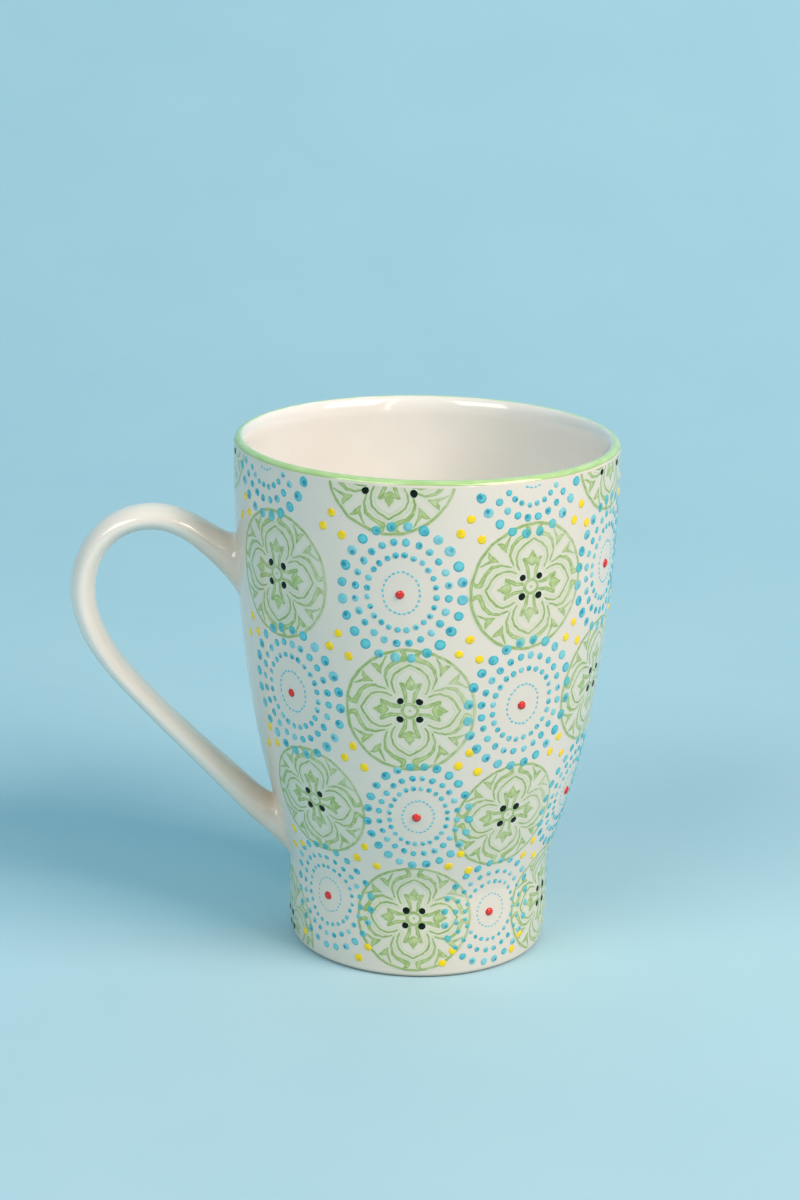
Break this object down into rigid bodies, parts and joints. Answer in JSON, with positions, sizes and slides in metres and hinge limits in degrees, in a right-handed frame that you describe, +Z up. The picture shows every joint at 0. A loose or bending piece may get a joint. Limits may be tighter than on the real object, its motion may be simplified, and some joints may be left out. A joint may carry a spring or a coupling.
{
  "type": "stoneware mug",
  "caption": "Tall tulip-shaped stoneware mug with a waisted foot, an ear handle, a green glazed lip and raised dots in rosettes and medallions.",
  "frame": {"origin": "on the cup's axis, in the plane that the foot ring stands on", "axes": "+Z up along the cup's axis, handle towards -X in the XZ plane"},
  "size_m": [0.1257, 0.0883, 0.121],
  "materials": {
    "stoneware_glaze": "clear glossy glaze over off-white stoneware",
    "liner_glaze": "glossy warm cream glaze",
    "green_glaze": "glossy pale green glaze, brushed on",
    "blue_enamel": "glossy translucent turquoise enamel, raised",
    "red_enamel": "glossy red enamel, raised",
    "black_enamel": "glossy black enamel, raised",
    "yellow_enamel": "glossy yellow enamel, raised"
  },
  "bodies": {
    "root": {"cup_body": "stoneware_glaze", "handle": "stoneware_glaze", "upper_joint_slip": "stoneware_glaze", "lower_joint_slip": "stoneware_glaze", "liner_glaze": "liner_glaze", "rim_glaze_band": "green_glaze", "blue_enamel_large": "blue_enamel", "blue_enamel_medium": "blue_enamel", "blue_enamel_small": "blue_enamel", "red_enamel_dots": "red_enamel", "black_enamel_dots": "black_enamel", "yellow_enamel_dots": "yellow_enamel"}
  },
  "joints": []
}
